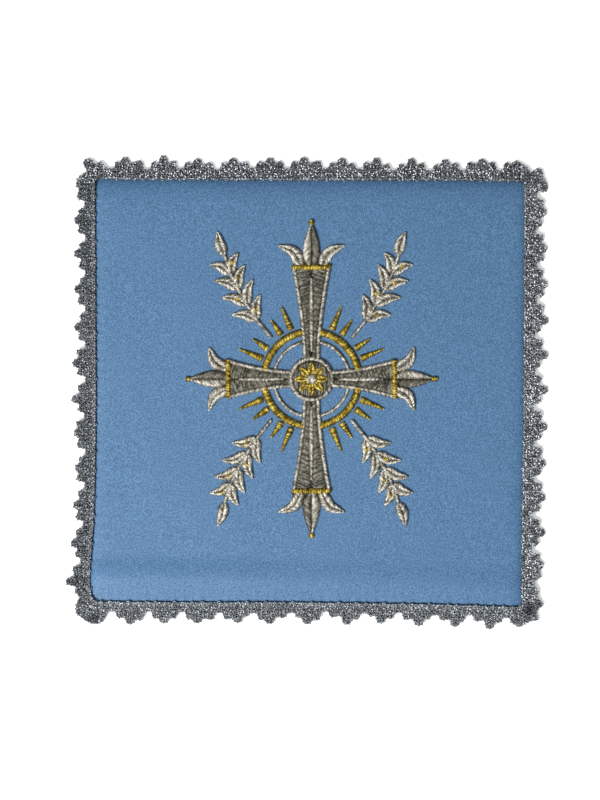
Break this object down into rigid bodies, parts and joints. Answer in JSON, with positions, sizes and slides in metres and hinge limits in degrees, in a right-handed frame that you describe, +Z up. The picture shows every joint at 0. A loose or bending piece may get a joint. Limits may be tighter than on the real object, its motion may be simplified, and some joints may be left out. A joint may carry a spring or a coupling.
{
  "type": "chalice pall",
  "caption": "Stiffened square of blue cloth with rounded corners, a low welt along one edge and a scalloped silver lace edging all round.",
  "frame": {"origin": "centre of the outline, on the flat underside", "axes": "+Z up out of the face, +X to the right and +Y to the top of the face as it is looked at"},
  "size_m": [0.1696, 0.166, 0.0045],
  "materials": {
    "blue_cloth": "matt crepe weave",
    "silver_lace": "glittering metal thread"
  },
  "bodies": {
    "root": {"panel": "blue_cloth", "lace_edging": "silver_lace"}
  },
  "joints": []
}
